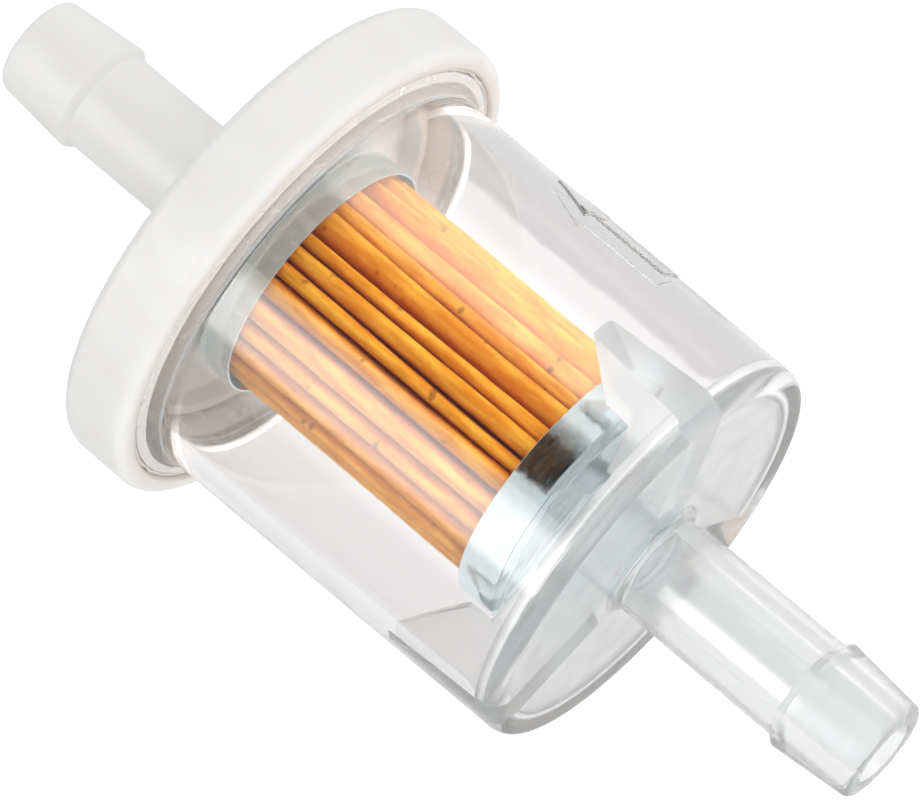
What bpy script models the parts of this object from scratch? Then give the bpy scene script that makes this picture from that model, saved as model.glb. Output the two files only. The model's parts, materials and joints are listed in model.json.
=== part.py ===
"""Clear-bowl inline fuel filter for a small petrol engine, as an assembly of separate pieces.

The filter's axis is X and +Z is up. Fuel enters at +X, through the clear bowl's barb, passes through the
pleated paper from outside to inside, and leaves at -X through the white cap's barb. The origin is on the
axis, halfway between the ends of the two barbs, and the raised flow arrow is on top of the bowl.
Stations are distances along X. Angles are turns about +X, counted from the arrow at the top.
"""
import math

import bmesh
import bpy
from mathutils import Matrix

MM = 0.001

# Fits
GAP = 0.3 * MM
ROUND_STEPS = 48
SMALL_STEPS = 36
ARC_STEPS = 3
MERGE_DISTANCE = 0.0001 * MM
SMOOTH_ANGLE = math.radians(40)

# Hose barbs, for fuel hose of 6.35 mm bore
BORE_RADIUS = 2.15 * MM
STEM_RADIUS = 3.5 * MM
RIDGE_RADIUS = 3.95 * MM
RIDGE_ROUNDING = 0.3 * MM
NOSE_RADIUS = 3.45 * MM
NOSE_ROUNDING = 0.45 * MM
BARB_LENGTH = 5.6 * MM
SHOULDER_LENGTH = 0.5 * MM
STEM_FILLET = 0.4 * MM
INLET_MOUTH = 35.45 * MM
OUTLET_MOUTH = -35.45 * MM

# Clear bowl
BOWL_BOTTOM = 16.95 * MM
BOWL_FLOOR = 15.55 * MM
BOWL_BOTTOM_RADIUS = 14.1 * MM
BOWL_NECK_RADIUS = 14.45 * MM
BOWL_NECK = -10.2 * MM
BOWL_WALL = 1.25 * MM
BOTTOM_ROUNDING = 1.0 * MM
FLOOR_ROUNDING = 0.8 * MM
FUNNEL_RADIUS = 4.0 * MM
FUNNEL_DEPTH = 1.6 * MM

# White cap
CAP_BACK = -16.35 * MM
CAP_FRONT = -11.25 * MM
CAP_FLOOR = -14.4 * MM
CAP_RADIUS = 17.4 * MM
CAP_ROUNDING = 0.8 * MM
SOCKET_RADIUS = 16.0 * MM
SOCKET_LIP = 0.35 * MM
SKIRT_OUTER_RADIUS = 12.75 * MM
SKIRT_INNER_RADIUS = 12.0 * MM
SKIRT_FRONT = -13.0 * MM
SPIGOT_RADIUS = 3.0 * MM
SPIGOT_END = -11.0 * MM

# Bowl flange, which the socket of the cap holds
FLANGE_RADIUS = SOCKET_RADIUS - GAP
FLANGE_FRONT = CAP_FRONT - 0.15 * MM
FLANGE_BACK = CAP_FLOOR + GAP

# Fins that centre the filter element in the bowl
FIN_ANGLES = [math.radians(turn) for turn in (38, 158, 278)]
FIN_TOP = 7.7 * MM
FIN_SHOULDER = 10.5 * MM
FIN_EDGE_RADIUS = 9.25 * MM
FIN_FOOT_RADIUS = 4.9 * MM
FIN_TOP_HALF_WIDTH = 0.87 * MM
FIN_FOOT_HALF_WIDTH = 1.55 * MM
FIN_SINK = 0.3 * MM

# Raised flow arrow
ARROW_TIP = -2.35 * MM
ARROW_BARB = 1.15 * MM
ARROW_TAIL = 7.1 * MM
ARROW_HALF_WIDTH = 2.5 * MM
SHAFT_HALF_WIDTH = 1.35 * MM
ARROW_HEIGHT = 0.3 * MM
ARROW_SINK = 0.4 * MM

# Zinc-plated end caps of the filter element
SHEET = 0.25 * MM
INLET_CAP_RADIUS = 8.9 * MM
INLET_CAP_EDGE = 9.1 * MM
INLET_CAP_TOP = 12.15 * MM
INLET_CAP_DISC = 11.6 * MM
BEAD_INNER_RADIUS = 7.55 * MM
OUTLET_CAP_RADIUS = 8.6 * MM
OUTLET_CAP_EDGE = -10.4 * MM
OUTLET_CAP_FACE = -13.1 * MM
OUTLET_CAP_HOLE = 4.4 * MM
SHEET_BEND = 0.6 * MM

# Rubber grommet between the outlet end cap and the cap's spigot
GROMMET_BORE = SPIGOT_RADIUS + GAP
GROMMET_RADIUS = 5.2 * MM
GROMMET_GROOVE_RADIUS = OUTLET_CAP_HOLE - GAP
GROMMET_LIP = 0.65 * MM

# Potting that bonds the paper into the end caps
POTTING_DEPTH = 1.15 * MM
INLET_POTTING_RADIUS = 7.1 * MM

# Pleated paper
PLEAT_COUNT = 30
PAPER = 0.3 * MM
PLEAT_OUTER_RADIUS = 8.1 * MM
PLEAT_INNER_RADIUS = 4.45 * MM
OUTER_FOLD = 0.48 * MM
INNER_FOLD = 0.25 * MM
FOLD_STEPS = 3
FLAP_OFFSET = 0.2 * MM
FLAP_RADIUS = 7.45 * MM
SEAM_ANGLE = math.radians(255)

# Clip over the two ends of the paper
CLIP_GAP = 0.15 * MM
CLIP_SHEET = 0.2 * MM
CLIP_FOOT_RADIUS = 6.2 * MM

# Perforated centre tube
TUBE_RADIUS = 3.9 * MM
TUBE_WALL = 0.3 * MM
TUBE_STEPS = 30
HOLE_RADIUS = 0.85 * MM
HOLE_SIDES = 8
HOLE_ROWS = 5
HOLES_PER_ROW = 6


def clear_scene():
    for old in list(bpy.data.objects):
        bpy.data.objects.remove(old, do_unlink=True)


def finish_material(name, colour, roughness, metallic=0.0, transmission=0.0):
    material = bpy.data.materials.new(name)
    material.use_nodes = True
    shader = material.node_tree.nodes["Principled BSDF"]
    shader.inputs["Base Color"].default_value = (*colour, 1.0)
    shader.inputs["Roughness"].default_value = roughness
    shader.inputs["Metallic"].default_value = metallic
    shader.inputs["Transmission Weight"].default_value = transmission
    material.diffuse_color = (*colour, 1.0)
    return material


def object_from(mesh_data, name, material):
    bmesh.ops.remove_doubles(mesh_data, verts=mesh_data.verts[:], dist=MERGE_DISTANCE)
    bmesh.ops.recalc_face_normals(mesh_data, faces=mesh_data.faces[:])
    mesh = bpy.data.meshes.new(name)
    mesh_data.to_mesh(mesh)
    mesh_data.free()
    mesh.shade_smooth()
    mesh.set_sharp_from_angle(angle=SMOOTH_ANGLE)
    mesh.materials.append(material)
    piece = bpy.data.objects.new(name, mesh)
    bpy.context.collection.objects.link(piece)
    return piece


def rounded(corners):
    """The outline through (station, radius, rounding) corners, with an arc at each rounded one."""
    outline = []
    count = len(corners)
    for index, (x, r, rounding) in enumerate(corners):
        if rounding == 0:
            outline.append((x, r))
            continue
        before = corners[index - 1]
        after = corners[(index + 1) % count]
        to_before = math.atan2(before[1] - r, before[0] - x)
        to_after = math.atan2(after[1] - r, after[0] - x)
        opening = (to_after - to_before + math.pi) % (2 * math.pi) - math.pi
        bisector = to_before + opening / 2
        reach = rounding / math.sin(abs(opening) / 2)
        centre = (x + reach * math.cos(bisector), r + reach * math.sin(bisector))
        sweep = math.copysign(math.pi - abs(opening), opening)
        for step in range(ARC_STEPS + 1):
            angle = bisector + math.pi + sweep * (0.5 - step / ARC_STEPS)
            outline.append((centre[0] + rounding * math.cos(angle), centre[1] + rounding * math.sin(angle)))
    return outline


def turned(name, outline, material, steps=ROUND_STEPS):
    """One closed body: an outline of (station, radius) points turned once about the X axis."""
    shape = bmesh.new()
    points = [shape.verts.new((x, 0.0, radius)) for x, radius in outline]
    open_on_axis = outline[0][1] == 0 and outline[-1][1] == 0
    following = points[1:] if open_on_axis else points[1:] + points[:1]
    edges = [shape.edges.new(pair) for pair in zip(points, following)]
    bmesh.ops.spin(shape, geom=points + edges, cent=(0, 0, 0), axis=(1, 0, 0), angle=2 * math.pi, steps=steps)
    return object_from(shape, name, material)


def prism(name, bottom, top, material):
    """One closed body between two matching polygons."""
    shape = bmesh.new()
    low = [shape.verts.new(point) for point in bottom]
    high = [shape.verts.new(point) for point in top]
    shape.faces.new(low)
    shape.faces.new(list(reversed(high)))
    for index in range(len(low)):
        after = (index + 1) % len(low)
        shape.faces.new((low[index], high[index], high[after], low[after]))
    return object_from(shape, name, material)


def join_to(target, helper):
    """Adds a hidden helper's solid to the target's."""
    helper.hide_render = True
    helper.display_type = "WIRE"
    modifier = target.modifiers.new(helper.name, "BOOLEAN")
    modifier.operation = "UNION"
    modifier.solver = "EXACT"
    modifier.object = helper


def cut_from(target, helper):
    """Removes a hidden helper's solid from the target's."""
    join_to(target, helper)
    target.modifiers[helper.name].operation = "DIFFERENCE"


def barb_corners(mouth, foot, direction):
    """A hose barb's outer corners from its mouth to its foot; direction is +1 where it points to +X."""
    ridge = mouth - direction * BARB_LENGTH
    shoulder = ridge - direction * SHOULDER_LENGTH
    return [
        (mouth, BORE_RADIUS, 0),
        (mouth, NOSE_RADIUS, NOSE_ROUNDING),
        (ridge, RIDGE_RADIUS, RIDGE_ROUNDING),
        (shoulder, STEM_RADIUS, 0),
        (foot, STEM_RADIUS, STEM_FILLET),
    ]


def fin(name, angle, material):
    """A drafted rib: a wall edge, a sloped lead-in, the edge that centres the element, and a foot."""
    foot = BOWL_FLOOR + FIN_SINK
    root = BOWL_BOTTOM_RADIUS - BOWL_WALL + FIN_SINK
    ledge = INLET_CAP_TOP + GAP
    profile = [
        (FIN_TOP, root),
        (FIN_SHOULDER, FIN_EDGE_RADIUS),
        (ledge, FIN_EDGE_RADIUS),
        (ledge, FIN_FOOT_RADIUS),
        (foot, FIN_FOOT_RADIUS),
        (foot, root),
    ]
    growth = (FIN_FOOT_HALF_WIDTH - FIN_TOP_HALF_WIDTH) / (foot - FIN_TOP)
    half_widths = [FIN_TOP_HALF_WIDTH + growth * (x - FIN_TOP) for x, _ in profile]
    near = [(x, -half, r) for (x, r), half in zip(profile, half_widths)]
    far = [(x, half, r) for (x, r), half in zip(profile, half_widths)]
    rib = prism(name, near, far, material)
    rib.rotation_euler.x = angle
    return rib


def bowl_wall_radius(x):
    """The drafted wall's outer radius at a station between the neck and the bottom."""
    along = (x - BOWL_NECK) / (BOWL_BOTTOM - BOWL_NECK)
    return BOWL_NECK_RADIUS + along * (BOWL_BOTTOM_RADIUS - BOWL_NECK_RADIUS)


def flow_arrow(name, material):
    """The arrow's outline wrapped on the bowl's wall, pointing the way the fuel flows, towards -X."""
    outline = [
        (ARROW_TIP, 0.0),
        (ARROW_BARB, ARROW_HALF_WIDTH),
        (ARROW_BARB, SHAFT_HALF_WIDTH),
        (ARROW_TAIL, SHAFT_HALF_WIDTH),
        (ARROW_TAIL, 0.0),
        (ARROW_TAIL, -SHAFT_HALF_WIDTH),
        (ARROW_BARB, -SHAFT_HALF_WIDTH),
        (ARROW_BARB, -ARROW_HALF_WIDTH),
    ]
    layers = []
    for height in (-ARROW_SINK, ARROW_HEIGHT):
        layer = []
        for x, side in outline:
            surface = bowl_wall_radius(x)
            radius = surface + height
            layer.append((x, -radius * math.sin(side / surface), radius * math.cos(side / surface)))
        layers.append(layer)
    return prism(name, layers[0], layers[1], material)


def inlet_bowl(clear):
    inner_neck = BOWL_NECK_RADIUS - BOWL_WALL
    inner_bottom = BOWL_BOTTOM_RADIUS - BOWL_WALL
    corners = barb_corners(INLET_MOUTH, BOWL_BOTTOM, 1) + [
        (BOWL_BOTTOM, BOWL_BOTTOM_RADIUS, BOTTOM_ROUNDING),
        (BOWL_NECK, BOWL_NECK_RADIUS, 0),
        (FLANGE_FRONT, BOWL_NECK_RADIUS, FLANGE_RADIUS - BOWL_NECK_RADIUS - 0.1 * MM),
        (FLANGE_FRONT, FLANGE_RADIUS, 0),
        (FLANGE_BACK, FLANGE_RADIUS, 0),
        (FLANGE_BACK, inner_neck, 0),
        (BOWL_FLOOR, inner_bottom, FLOOR_ROUNDING),
        (BOWL_FLOOR, FUNNEL_RADIUS, 0),
        (BOWL_FLOOR + FUNNEL_DEPTH, BORE_RADIUS, 0),
    ]
    bowl = turned("inlet_bowl", rounded(corners), clear)
    for number, angle in enumerate(FIN_ANGLES, start=1):
        join_to(bowl, fin(f"fin_shape_{number}", angle, clear))
    join_to(bowl, flow_arrow("arrow_shape", clear))
    return bowl


def outlet_cap(white):
    corners = barb_corners(OUTLET_MOUTH, CAP_BACK, -1) + [
        (CAP_BACK, CAP_RADIUS, CAP_ROUNDING),
        (CAP_FRONT, CAP_RADIUS, CAP_ROUNDING),
        (CAP_FRONT, SOCKET_RADIUS, SOCKET_LIP / 2),
        (CAP_FLOOR, SOCKET_RADIUS, 0),
        (CAP_FLOOR, SKIRT_OUTER_RADIUS, 0),
        (SKIRT_FRONT, SKIRT_OUTER_RADIUS, 0),
        (SKIRT_FRONT, SKIRT_INNER_RADIUS, 0),
        (CAP_FLOOR, SKIRT_INNER_RADIUS, 0),
        (CAP_FLOOR, SPIGOT_RADIUS, 0),
        (SPIGOT_END, SPIGOT_RADIUS, 0),
        (SPIGOT_END, BORE_RADIUS, 0),
    ]
    return turned("outlet_cap", rounded(corners), white)


def inlet_end_cap(zinc):
    """The closed pressing: a flat disc inside a raised bead, and a skirt over the paper."""
    inside = INLET_CAP_RADIUS - SHEET
    corners = [
        (INLET_CAP_DISC, 0, 0),
        (INLET_CAP_DISC, BEAD_INNER_RADIUS, 0.2 * MM),
        (INLET_CAP_TOP, BEAD_INNER_RADIUS + 0.4 * MM, 0.25 * MM),
        (INLET_CAP_TOP, INLET_CAP_RADIUS, SHEET_BEND),
        (INLET_CAP_EDGE, INLET_CAP_RADIUS, 0),
        (INLET_CAP_EDGE, inside, 0),
        (INLET_CAP_TOP - SHEET, inside, SHEET_BEND - SHEET),
        (INLET_CAP_TOP - SHEET, BEAD_INNER_RADIUS + 0.5 * MM, 0),
        (INLET_CAP_DISC - SHEET, BEAD_INNER_RADIUS + 0.1 * MM, 0),
        (INLET_CAP_DISC - SHEET, 0, 0),
    ]
    return turned("inlet_end_cap", rounded(corners), zinc, SMALL_STEPS)


def outlet_end_cap(zinc):
    """The open pressing: a flat ring round the grommet's hole, and a skirt over the paper."""
    inside = OUTLET_CAP_RADIUS - SHEET
    corners = [
        (OUTLET_CAP_FACE, OUTLET_CAP_HOLE, 0),
        (OUTLET_CAP_FACE, OUTLET_CAP_RADIUS, SHEET_BEND),
        (OUTLET_CAP_EDGE, OUTLET_CAP_RADIUS, 0),
        (OUTLET_CAP_EDGE, inside, 0),
        (OUTLET_CAP_FACE + SHEET, inside, SHEET_BEND - SHEET),
        (OUTLET_CAP_FACE + SHEET, OUTLET_CAP_HOLE, 0),
    ]
    return turned("outlet_end_cap", rounded(corners), zinc, SMALL_STEPS)


def outlet_grommet(rubber):
    """A ring with a groove for the end cap's hole and a bore for the cap's spigot."""
    groove_back = OUTLET_CAP_FACE - GAP
    groove_front = OUTLET_CAP_FACE + SHEET + GAP
    back = groove_back - GROMMET_LIP
    front = groove_front + GROMMET_LIP
    outline = [
        (back, GROMMET_BORE),
        (back, GROMMET_RADIUS),
        (groove_back, GROMMET_RADIUS),
        (groove_back, GROMMET_GROOVE_RADIUS),
        (groove_front, GROMMET_GROOVE_RADIUS),
        (groove_front, GROMMET_RADIUS),
        (front, GROMMET_RADIUS),
        (front, GROMMET_BORE),
    ]
    return turned("outlet_grommet", outline, rubber, SMALL_STEPS), front


def potting_discs(potting):
    """The two beds of potting, and the stations of their faces towards the paper."""
    outlet_back = OUTLET_CAP_FACE + SHEET + GAP
    outlet_front = outlet_back + POTTING_DEPTH
    hole = GROMMET_RADIUS + GAP
    rim = OUTLET_CAP_RADIUS - SHEET - GAP
    outlet_outline = [(outlet_back, hole), (outlet_back, rim - GAP), (outlet_back + GAP, rim), (outlet_front, rim),
                      (outlet_front, hole)]
    turned("outlet_potting", outlet_outline, potting, SMALL_STEPS)
    inlet_back = INLET_CAP_DISC - SHEET - GAP
    inlet_front = inlet_back - POTTING_DEPTH
    inlet_outline = [(inlet_back, 0), (inlet_back, INLET_POTTING_RADIUS), (inlet_front, rim), (inlet_front, 0)]
    turned("inlet_potting", inlet_outline, potting, SMALL_STEPS)
    return outlet_front, inlet_front


def around(angle, radius, aside):
    """The (y, z) point at a radius along the line at this angle, moved aside from that line."""
    return (
        -radius * math.sin(angle) - aside * math.cos(angle),
        radius * math.cos(angle) - aside * math.sin(angle),
    )


def pleat_line():
    """The folded sheet's centre line, from one flap at the seam round to the other."""
    pitch = 2 * math.pi / PLEAT_COUNT
    turns = [math.pi * (step / FOLD_STEPS - 0.5) for step in range(FOLD_STEPS + 1)]
    line = [around(SEAM_ANGLE, FLAP_RADIUS, FLAP_OFFSET)]
    for pleat in range(PLEAT_COUNT):
        inner_angle = SEAM_ANGLE + (pleat + 0.5) * pitch
        foot = PLEAT_INNER_RADIUS + PAPER / 2 + INNER_FOLD
        for turn in turns:
            line.append(around(inner_angle, foot - INNER_FOLD * math.cos(turn), INNER_FOLD * math.sin(turn)))
        if pleat == PLEAT_COUNT - 1:
            break
        outer_angle = SEAM_ANGLE + (pleat + 1) * pitch
        head = PLEAT_OUTER_RADIUS - PAPER / 2 - OUTER_FOLD
        for turn in turns:
            line.append(around(outer_angle, head + OUTER_FOLD * math.cos(turn), OUTER_FOLD * math.sin(turn)))
    line.append(around(SEAM_ANGLE, FLAP_RADIUS, -FLAP_OFFSET))
    return line


def beside(line, distance):
    """A line at a constant distance from another, to its left."""
    shifted = []
    last = len(line) - 1
    for index, (y, z) in enumerate(line):
        before = line[max(index - 1, 0)]
        after = line[min(index + 1, last)]
        run = math.hypot(after[0] - before[0], after[1] - before[1])
        shifted.append((
            y - distance * (after[1] - before[1]) / run,
            z + distance * (after[0] - before[0]) / run,
        ))
    return shifted


def pleated_paper(paper, back, front):
    line = pleat_line()
    section = beside(line, PAPER / 2) + list(reversed(beside(line, -PAPER / 2)))
    shape = bmesh.new()
    ends = []
    for station in (back, front):
        ends.append([shape.verts.new((station, y, z)) for y, z in section])
    count = len(section)
    half = count // 2
    for index in range(count):
        after = (index + 1) % count
        shape.faces.new((ends[0][index], ends[1][index], ends[1][after], ends[0][after]))
    for end in ends:
        for index in range(half - 1):
            across = count - 1 - index
            shape.faces.new((end[index], end[index + 1], end[across - 1], end[across]))
    return object_from(shape, "pleated_paper", paper)


def pleat_seam_clip(zinc, back, front):
    """A folded strip that grips the two flaps of the paper."""
    inside = FLAP_OFFSET + PAPER / 2 + CLIP_GAP
    outside = inside + CLIP_SHEET
    top = FLAP_RADIUS + CLIP_GAP
    section = [
        (CLIP_FOOT_RADIUS, outside), (top + CLIP_SHEET, outside),
        (top + CLIP_SHEET, -outside), (CLIP_FOOT_RADIUS, -outside),
        (CLIP_FOOT_RADIUS, -inside), (top, -inside),
        (top, inside), (CLIP_FOOT_RADIUS, inside),
    ]
    ends = []
    for station in (back, front):
        ends.append([(station, *around(SEAM_ANGLE, radius, aside)) for radius, aside in section])
    return prism("pleat_seam_clip", ends[0], ends[1], zinc)


def centre_tube(tin, back, front):
    inner = TUBE_RADIUS - TUBE_WALL
    outline = [(back, inner), (back, TUBE_RADIUS), (front, TUBE_RADIUS), (front, inner)]
    tube = turned("centre_tube", outline, tin, TUBE_STEPS)
    holes = bmesh.new()
    row_pitch = (front - back) / HOLE_ROWS
    middle = TUBE_RADIUS - TUBE_WALL / 2
    for row in range(HOLE_ROWS):
        for hole in range(HOLES_PER_ROW):
            angle = 2 * math.pi * (hole + row % 2 / 2) / HOLES_PER_ROW
            place = (
                Matrix.Translation((back + (row + 0.5) * row_pitch, 0, 0))
                @ Matrix.Rotation(angle, 4, "X")
                @ Matrix.Translation((0, 0, middle))
            )
            bmesh.ops.create_cone(holes, cap_ends=True, segments=HOLE_SIDES, radius1=HOLE_RADIUS,
                                  radius2=HOLE_RADIUS, depth=8 * TUBE_WALL, matrix=place)
    cut_from(tube, object_from(holes, "tube_holes", tin))
    return tube


def build():
    clear_scene()
    clear = finish_material("clear_bowl", (0.86, 0.87, 0.87), 0.08, transmission=1.0)
    white = finish_material("white_cap", (0.86, 0.85, 0.82), 0.38)
    zinc = finish_material("zinc_plate", (0.66, 0.71, 0.73), 0.28, metallic=1.0)
    tin = finish_material("tube_steel", (0.62, 0.62, 0.60), 0.35, metallic=1.0)
    paper = finish_material("filter_paper", (0.80, 0.43, 0.09), 0.85)
    potting = finish_material("potting", (0.55, 0.36, 0.14), 0.6)
    rubber = finish_material("grommet_rubber", (0.03, 0.03, 0.03), 0.6)
    inlet_bowl(clear)
    outlet_cap(white)
    inlet_end_cap(zinc)
    outlet_end_cap(zinc)
    _, grommet_front = outlet_grommet(rubber)
    outlet_bed, inlet_bed = potting_discs(potting)
    back = outlet_bed + GAP
    front = inlet_bed - GAP
    pleated_paper(paper, back, front)
    pleat_seam_clip(zinc, back, front)
    centre_tube(tin, grommet_front + GAP, front)
    assembly = bpy.data.objects.new("fuel_filter", None)
    bpy.context.collection.objects.link(assembly)
    for piece in list(bpy.data.objects):
        if piece is not assembly:
            piece.parent = assembly


build()
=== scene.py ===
"""The looks of the clear-bowl inline fuel filter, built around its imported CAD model.

The filter's axis is X: the clear bowl's hose barb points to +X and the white cap's to -X. A station is a
place along X, and a turn is an angle about +X, counted from the flow arrow at the top. An outline's corner
is its station, its radius and the radius of its rounding.
"""
import json
import math
import random

import bmesh
import bpy
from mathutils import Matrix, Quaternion, Vector, noise


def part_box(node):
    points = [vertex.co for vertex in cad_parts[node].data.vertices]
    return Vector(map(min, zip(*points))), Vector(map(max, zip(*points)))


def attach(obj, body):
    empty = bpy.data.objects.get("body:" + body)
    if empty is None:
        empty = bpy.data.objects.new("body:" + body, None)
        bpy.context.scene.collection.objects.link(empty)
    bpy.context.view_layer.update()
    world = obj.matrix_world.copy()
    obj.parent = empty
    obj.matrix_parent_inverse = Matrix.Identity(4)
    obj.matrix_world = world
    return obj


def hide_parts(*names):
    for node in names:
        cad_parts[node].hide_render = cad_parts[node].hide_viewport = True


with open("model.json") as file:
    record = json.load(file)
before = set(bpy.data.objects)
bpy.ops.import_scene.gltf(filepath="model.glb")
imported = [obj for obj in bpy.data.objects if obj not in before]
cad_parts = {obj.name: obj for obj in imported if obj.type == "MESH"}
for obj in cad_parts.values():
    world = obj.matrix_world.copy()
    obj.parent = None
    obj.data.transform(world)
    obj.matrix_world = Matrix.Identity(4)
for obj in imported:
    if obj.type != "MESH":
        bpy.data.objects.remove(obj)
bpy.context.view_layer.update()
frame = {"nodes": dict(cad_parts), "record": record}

MM = 0.001

# Stations and radii that the frame gives
mounts = {mount["name"]: mount for mount in frame["record"]["mounts"]}
bowl_low, bowl_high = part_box("inlet_bowl")
cap_low, cap_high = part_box("outlet_cap")
inlet_pressing_low, inlet_pressing_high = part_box("inlet_end_cap")
outlet_pressing_low, outlet_pressing_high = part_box("outlet_end_cap")
paper_low, paper_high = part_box("pleated_paper")
INLET_MOUTH = bowl_high.x
OUTLET_MOUTH = cap_low.x
RIDGE_RADIUS = mounts["inlet_hose"]["dims"]["r_mm"] * MM
BOWL_BOTTOM = mounts["bowl_bottom"]["pos_m"][0]
CAP_BACK = mounts["cap_back"]["pos_m"][0]
FLANGE_BACK = bowl_low.x
FLANGE_RADIUS = -bowl_low.z
CAP_RADIUS = cap_high.z
SPIGOT_END = cap_high.x

# Hose barbs
BORE_RADIUS = 2.15 * MM
STEM_RADIUS = 3.5 * MM
NOSE_RADIUS = 3.45 * MM
NOSE_ROUNDING = 0.45 * MM
BARB_LENGTH = 5.6 * MM
SHOULDER_LENGTH = 0.5 * MM
RIDGE_ROUNDING = 0.3 * MM
EDGE_ROUNDING = 0.12 * MM
FOOT_FILLET = 0.5 * MM

# Clear bowl
BOWL_WALL = 1.25 * MM
FLOOR_THICKNESS = 1.4 * MM
BOWL_NECK = BOWL_BOTTOM - 27.15 * MM
BOWL_NECK_RADIUS = 14.45 * MM
BOWL_BOTTOM_RADIUS = 14.1 * MM
BOWL_FLOOR = BOWL_BOTTOM - FLOOR_THICKNESS
BOTTOM_ROUNDING = 1.0 * MM
FLOOR_FILLET = 0.8 * MM
FUNNEL_RADIUS = 4.0 * MM
FUNNEL_DEPTH = 1.6 * MM
FLANGE_FRONT = FLANGE_BACK + 2.7 * MM
FLANGE_LEDGE = 0.2 * MM

# White cap
CAP_FRONT = CAP_BACK + 5.1 * MM
CAP_FLOOR = CAP_BACK + 1.95 * MM
SOCKET_RADIUS = FLANGE_RADIUS + 0.3 * MM
SKIRT_FRONT = CAP_FLOOR + 1.4 * MM
SKIRT_OUTER_RADIUS = 12.75 * MM
SKIRT_INNER_RADIUS = 12.0 * MM
SPIGOT_RADIUS = 3.0 * MM
CAP_ROUNDING = 0.8 * MM
CAP_FILLET = 0.2 * MM

# Crinkled flash along the weld
FLASH_RADIUS = 0.13 * MM
FLASH_SINK = 0.2 * MM
FLASH_STEPS = 12
FLASH_TURN_STEPS = 720
CRINKLE = 0.09 * MM
CRINKLE_FINENESS = 18

# Fins inside the bowl, and the flow arrow on it
FIN_TURNS = [math.radians(turn) for turn in (38, 158, 278)]
FIN_TOP = BOWL_FLOOR - 7.85 * MM
FIN_SHOULDER = BOWL_FLOOR - 5.05 * MM
FIN_LEDGE = inlet_pressing_high.x + 0.3 * MM
FIN_EDGE_RADIUS = 9.25 * MM
FIN_FOOT_RADIUS = 4.9 * MM
FIN_TOP_HALF_WIDTH = 0.87 * MM
FIN_FOOT_HALF_WIDTH = 1.55 * MM
FIN_SINK = 0.3 * MM
FIN_ROUNDING = 0.22 * MM
FIN_REACH = BOWL_BOTTOM_RADIUS - BOWL_WALL - 0.03 * MM
ARROW_TIP = BOWL_NECK + 7.85 * MM
ARROW_BARB = BOWL_NECK + 11.35 * MM
ARROW_TAIL = BOWL_NECK + 17.3 * MM
ARROW_HALF_WIDTH = 2.5 * MM
SHAFT_HALF_WIDTH = 1.35 * MM
ARROW_HEIGHT = 0.12 * MM
ARROW_SINK = 0.4 * MM
ARROW_ROUNDING = 0.1 * MM
ARROW_SLICES = 12
ARROW_SKIN = 0.01 * MM

# Pressed steel end caps
SHEET = 0.25 * MM
BEAD_INNER_RADIUS = 7.55 * MM
DISC_DEPTH = 0.55 * MM
SHEET_BEND = 0.6 * MM
RIM = 0.12 * MM
RIM_SLOPE = 0.6 * MM
GROMMET_HOLE = 4.45 * MM
DENT = 0.05 * MM

# Pleated paper
PAPER = 0.3 * MM
SEAM_TURN = math.radians(255)
FLAP_OFFSET = 0.2 * MM
FLAP_RADIUS = 7.45 * MM
PLEAT_INNER_RADIUS = 4.45 * MM
PLEAT_OUTER_RADIUS = 8.1 * MM
PLEATS_BEFORE = 9
PLEATS_AFTER = 9
FRONT_PLEAT_DEGREES = [17.3, 12.2, 7.1, 13.9, 7.8, 10.7, 9.1, 13.1, 13.2, 12.8, 13.0]
FIRST_FRONT_VALLEY = 117.4
VALLEY_FOLD = 0.25 * MM
VALLEY_ROOM = 0.3 * MM
VALLEY_GAP = 0.08 * MM
CREST_FOLD = 0.3 * MM
SHOULDER_FOLD = 0.5 * MM
DEEPEST_SAG = 1.5 * MM
STATIONS = 36
FOLD_STEPS = 8
CREST_STEPS = 16

# Meshing
ROUND_STEPS = 192
ARC_STEPS = 8
LONGEST_STEP = 0.8 * MM
BEVEL_STEPS = 3
SMOOTH_ANGLE = math.radians(35)

# Plastic, and the clear bowl's material slots
PLASTIC_IOR = 1.53
WALL_SLOT, THICK_SLOT, FIN_SLOT, FLANGE_SLOT = range(4)

# Strengths of the studio's light: what is mirrored from all round and from below, what reaches diffuse
# surfaces outside and inside the bowl, how much more of that comes from +X, and the backdrop
ROOM_LIGHT = 0.92
UNDER_LIGHT = 0.4
FILL_LIGHT = 1.23
INSIDE_LIGHT = 4.5
FILL_SLOPE = 0.3
BACKDROP_LIGHT = 1.3

# The mirrored softbox, the same for rays that crossed the whole bowl, and the least that the band shows
# through one wall
SOFTBOX_LIGHT = 3.2
SOFTBOX_INSIDE = 0.6
WALL_LIGHT = 0.6

# A step is the two heights in degrees between which it comes in, and its change in the softbox's share of
# light or in the band's own light
SOFTBOX_STEPS = ((48, 54, 1.0), (76, 96, -0.72), (112, 138, -0.28))
BAND_STEPS = (
    (35, 41, 0.6),
    (44, 46, 0.4),
    (-3, -4.5, 3.0),
    (-5, -16, 8.0),
    (-37, -44, -8.2),
    (-56, -66, -2.4),
    (-130, -150, 0.5),
)

# Parts of a unit direction: how far the band's middle leans to -X, its half width and its soft edge, and
# the two levels between which the light from below gives way to the room's
BAND_ASIDE = 0.28
BAND_WIDTH = 0.14
BAND_FADE = 0.12
UNDER_FADE = (-0.45, -0.15)

# Limits for the number of clear faces that a ray has passed: two for one wall, more for the whole bowl
ONE_WALL = 1.5
WHOLE_BOWL = 2.5

# Floor, in metres
FLOOR_DEPTH = 0.4
FLOOR_HALF_SIZE = 8.0

# Camera
CAMERA_AZIMUTH = math.radians(16.83)
CAMERA_ELEVATION = math.radians(11.5)
CAMERA_ROLL = math.radians(36.58)
CAMERA_DISTANCE = 345.7 * MM
CAMERA_AIM = Vector((0.95, 0.26, -0.13)) * MM
CAMERA_LENS = 219.5
CAMERA_CLIP = 0.01

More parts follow.
